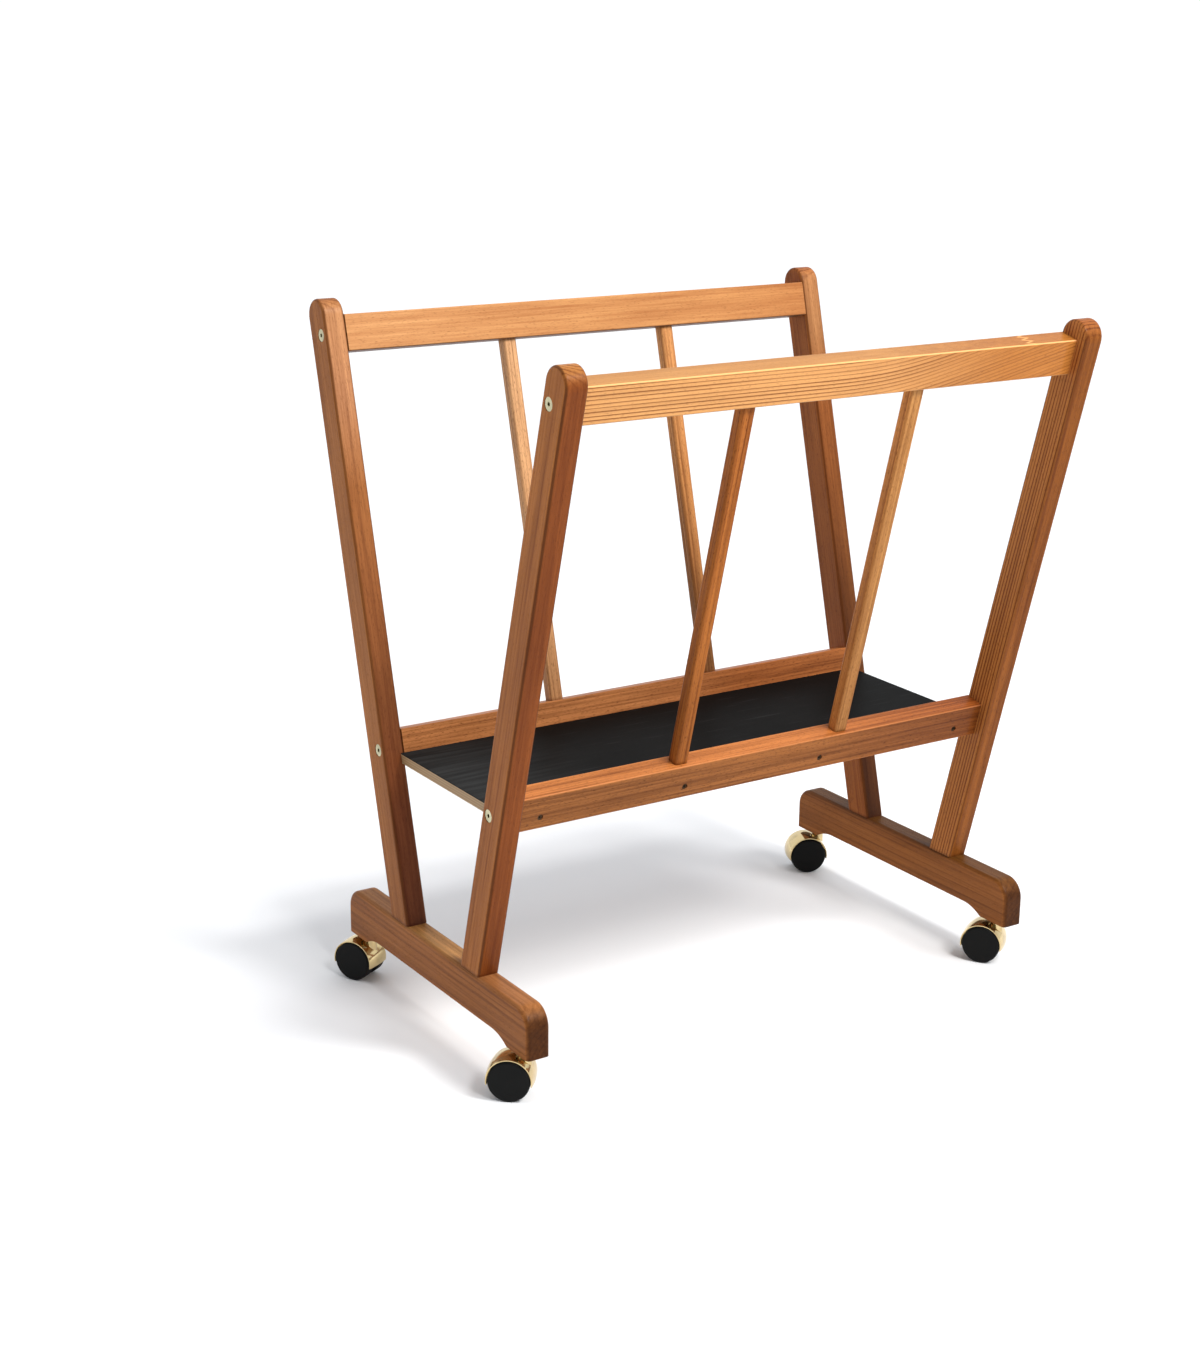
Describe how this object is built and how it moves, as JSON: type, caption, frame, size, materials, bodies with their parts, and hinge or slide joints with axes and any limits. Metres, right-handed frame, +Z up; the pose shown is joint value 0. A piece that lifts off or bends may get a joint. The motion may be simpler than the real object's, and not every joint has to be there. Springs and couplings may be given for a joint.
{
  "type": "newspaper rack",
  "caption": "Wooden rack with splayed slatted sides over a flat shelf, on feet with hooded brass twin-wheel casters, for newspapers, prints or posters stood on edge.",
  "frame": {"origin": "on the floor under the middle of the rack", "axes": "+X along the rails to the rack's right, +Y to its back, +Z up; the front is the side at -Y"},
  "size_m": [0.7041, 0.5324, 0.7686],
  "materials": {
    "foot_wood": "satin varnish",
    "post_wood": "satin varnish",
    "rail_wood": "satin varnish",
    "spindle_wood": "satin varnish",
    "plywood": "bare plywood edge under clear varnish",
    "black_sheet": "matte, faint sheen",
    "bolt_brass": "pale plated, satin",
    "insert_steel": "plain",
    "dowel_wood": "bare",
    "screw_steel": "plain",
    "caster_steel": "bright zinc",
    "hood_brass": "bright plated",
    "wheel_black": "moulded, matte"
  },
  "bodies": {
    "rack": {"left_foot": "foot_wood", "right_foot": "foot_wood", "front_left_post": "post_wood", "front_right_post": "post_wood", "back_left_post": "post_wood", "back_right_post": "post_wood", "front_top_rail": "rail_wood", "front_lower_rail": "rail_wood", "back_top_rail": "rail_wood", "back_lower_rail": "rail_wood", "front_left_spindle": "spindle_wood", "front_right_spindle": "spindle_wood", "back_left_spindle": "spindle_wood", "back_right_spindle": "spindle_wood", "shelf_board": "plywood", "shelf_surface": "black_sheet", "connector_bolts": "bolt_brass", "threaded_inserts": "insert_steel", "rail_dowels": "dowel_wood", "foot_dowels": "dowel_wood", "shelf_screws": "screw_steel", "front_left_caster_socket": "caster_steel", "front_right_caster_socket": "caster_steel", "back_left_caster_socket": "caster_steel", "back_right_caster_socket": "caster_steel"},
    "front_left_swivel": {"front_left_caster_hood": "hood_brass", "front_left_caster_stem": "caster_steel", "front_left_caster_axle": "caster_steel"},
    "front_left_left_wheel": {"front_left_caster_left_wheel": "wheel_black"},
    "front_left_right_wheel": {"front_left_caster_right_wheel": "wheel_black"},
    "front_right_swivel": {"front_right_caster_hood": "hood_brass", "front_right_caster_stem": "caster_steel", "front_right_caster_axle": "caster_steel"},
    "front_right_left_wheel": {"front_right_caster_left_wheel": "wheel_black"},
    "front_right_right_wheel": {"front_right_caster_right_wheel": "wheel_black"},
    "back_left_swivel": {"back_left_caster_hood": "hood_brass", "back_left_caster_stem": "caster_steel", "back_left_caster_axle": "caster_steel"},
    "back_left_left_wheel": {"back_left_caster_left_wheel": "wheel_black"},
    "back_left_right_wheel": {"back_left_caster_right_wheel": "wheel_black"},
    "back_right_swivel": {"back_right_caster_hood": "hood_brass", "back_right_caster_stem": "caster_steel", "back_right_caster_axle": "caster_steel"},
    "back_right_left_wheel": {"back_right_caster_left_wheel": "wheel_black"},
    "back_right_right_wheel": {"back_right_caster_right_wheel": "wheel_black"}
  },
  "joints": [
    {"name": "front_left_caster_swivel", "type": "hinge", "parent": "rack", "child": "front_left_swivel", "pos_m": [-0.3225, -0.173, 0.0525], "axis": [0, 0, 1], "continuous": true},
    {"name": "front_left_left_wheel_spin", "type": "hinge", "parent": "front_left_swivel", "child": "front_left_left_wheel", "pos_m": [-0.33382, -0.16316, 0.0225], "axis": [-0.6561, -0.7547, 0], "continuous": true},
    {"name": "front_left_right_wheel_spin", "type": "hinge", "parent": "front_left_swivel", "child": "front_left_right_wheel", "pos_m": [-0.33382, -0.16316, 0.0225], "axis": [-0.6561, -0.7547, 0], "continuous": true},
    {"name": "front_right_caster_swivel", "type": "hinge", "parent": "rack", "child": "front_right_swivel", "pos_m": [0.3225, -0.173, 0.0525], "axis": [0, 0, 1], "continuous": true},
    {"name": "front_right_left_wheel_spin", "type": "hinge", "parent": "front_right_swivel", "child": "front_right_left_wheel", "pos_m": [0.3139, -0.16071, 0.0225], "axis": [-0.8192, -0.5736, 0], "continuous": true},
    {"name": "front_right_right_wheel_spin", "type": "hinge", "parent": "front_right_swivel", "child": "front_right_right_wheel", "pos_m": [0.3139, -0.16071, 0.0225], "axis": [-0.8192, -0.5736, 0], "continuous": true},
    {"name": "back_left_caster_swivel", "type": "hinge", "parent": "rack", "child": "back_left_swivel", "pos_m": [-0.3225, 0.173, 0.0525], "axis": [0, 0, 1], "continuous": true},
    {"name": "back_left_left_wheel_spin", "type": "hinge", "parent": "back_left_swivel", "child": "back_left_left_wheel", "pos_m": [-0.32977, 0.18612, 0.0225], "axis": [-0.8746, -0.4848, 0], "continuous": true},
    {"name": "back_left_right_wheel_spin", "type": "hinge", "parent": "back_left_swivel", "child": "back_left_right_wheel", "pos_m": [-0.32977, 0.18612, 0.0225], "axis": [-0.8746, -0.4848, 0], "continuous": true},
    {"name": "back_right_caster_swivel", "type": "hinge", "parent": "rack", "child": "back_right_swivel", "pos_m": [0.3225, 0.173, 0.0525], "axis": [0, 0, 1], "continuous": true},
    {"name": "back_right_left_wheel_spin", "type": "hinge", "parent": "back_right_swivel", "child": "back_right_left_wheel", "pos_m": [0.3088, 0.1791, 0.0225], "axis": [-0.4067, -0.9135, 0], "continuous": true},
    {"name": "back_right_right_wheel_spin", "type": "hinge", "parent": "back_right_swivel", "child": "back_right_right_wheel", "pos_m": [0.3088, 0.1791, 0.0225], "axis": [-0.4067, -0.9135, 0], "continuous": true}
  ]
}
